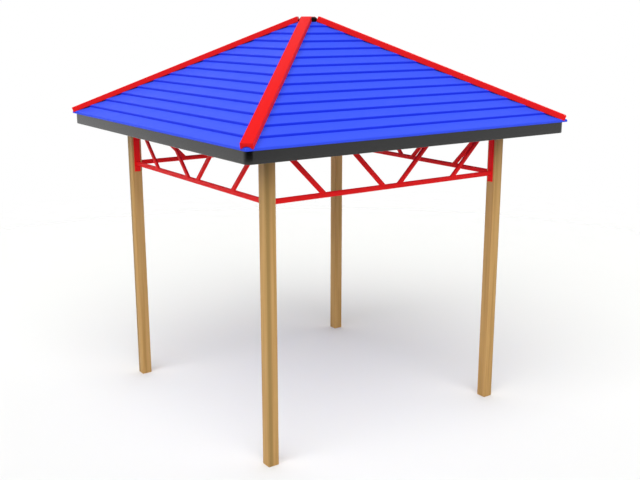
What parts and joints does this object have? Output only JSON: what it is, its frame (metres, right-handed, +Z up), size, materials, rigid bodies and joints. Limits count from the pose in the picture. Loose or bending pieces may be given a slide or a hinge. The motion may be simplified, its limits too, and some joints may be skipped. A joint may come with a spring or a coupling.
{
  "type": "garden gazebo",
  "caption": "Square open garden gazebo: timber posts, red flat oval tube trusses, black fascia, and a blue lapped pyramid roof with red hip caps and a black peak hub.",
  "frame": {"origin": "centre of the plan, on the ground between the four post feet", "axes": "+Z up; +X along the front, from the front left post to the front right post; +Y from the front to the back"},
  "size_m": [3.442, 3.442, 3.652],
  "materials": {
    "post_timber": "oiled, satin",
    "rafter_timber": "oiled, satin",
    "truss_red": "powder coated, satin",
    "fascia_black": "powder coated, gloss",
    "roof_blue": "moulded, satin",
    "cap_red": "moulded, satin",
    "hub_black": "powder coated, satin"
  },
  "bodies": {
    "root": {"front_left_post": "post_timber", "front_right_post": "post_timber", "back_right_post": "post_timber", "back_left_post": "post_timber", "front_bottom_chord": "truss_red", "right_bottom_chord": "truss_red", "back_bottom_chord": "truss_red", "left_bottom_chord": "truss_red", "front_top_chord": "truss_red", "right_top_chord": "truss_red", "back_top_chord": "truss_red", "left_top_chord": "truss_red", "front_braces": "truss_red", "right_braces": "truss_red", "back_braces": "truss_red", "left_braces": "truss_red", "front_truss_left_plate": "truss_red", "front_truss_right_plate": "truss_red", "right_truss_left_plate": "truss_red", "right_truss_right_plate": "truss_red", "back_truss_left_plate": "truss_red", "back_truss_right_plate": "truss_red", "left_truss_left_plate": "truss_red", "left_truss_right_plate": "truss_red", "front_fascia": "fascia_black", "right_fascia": "fascia_black", "back_fascia": "fascia_black", "left_fascia": "fascia_black", "front_left_fascia_corner": "fascia_black", "front_right_fascia_corner": "fascia_black", "back_right_fascia_corner": "fascia_black", "back_left_fascia_corner": "fascia_black", "front_left_hip_rafter": "rafter_timber", "front_right_hip_rafter": "rafter_timber", "back_right_hip_rafter": "rafter_timber", "back_left_hip_rafter": "rafter_timber", "front_roof": "roof_blue", "right_roof": "roof_blue", "back_roof": "roof_blue", "left_roof": "roof_blue", "front_left_hip_cap": "cap_red", "front_right_hip_cap": "cap_red", "back_right_hip_cap": "cap_red", "back_left_hip_cap": "cap_red", "peak_hub": "hub_black"}
  },
  "joints": []
}
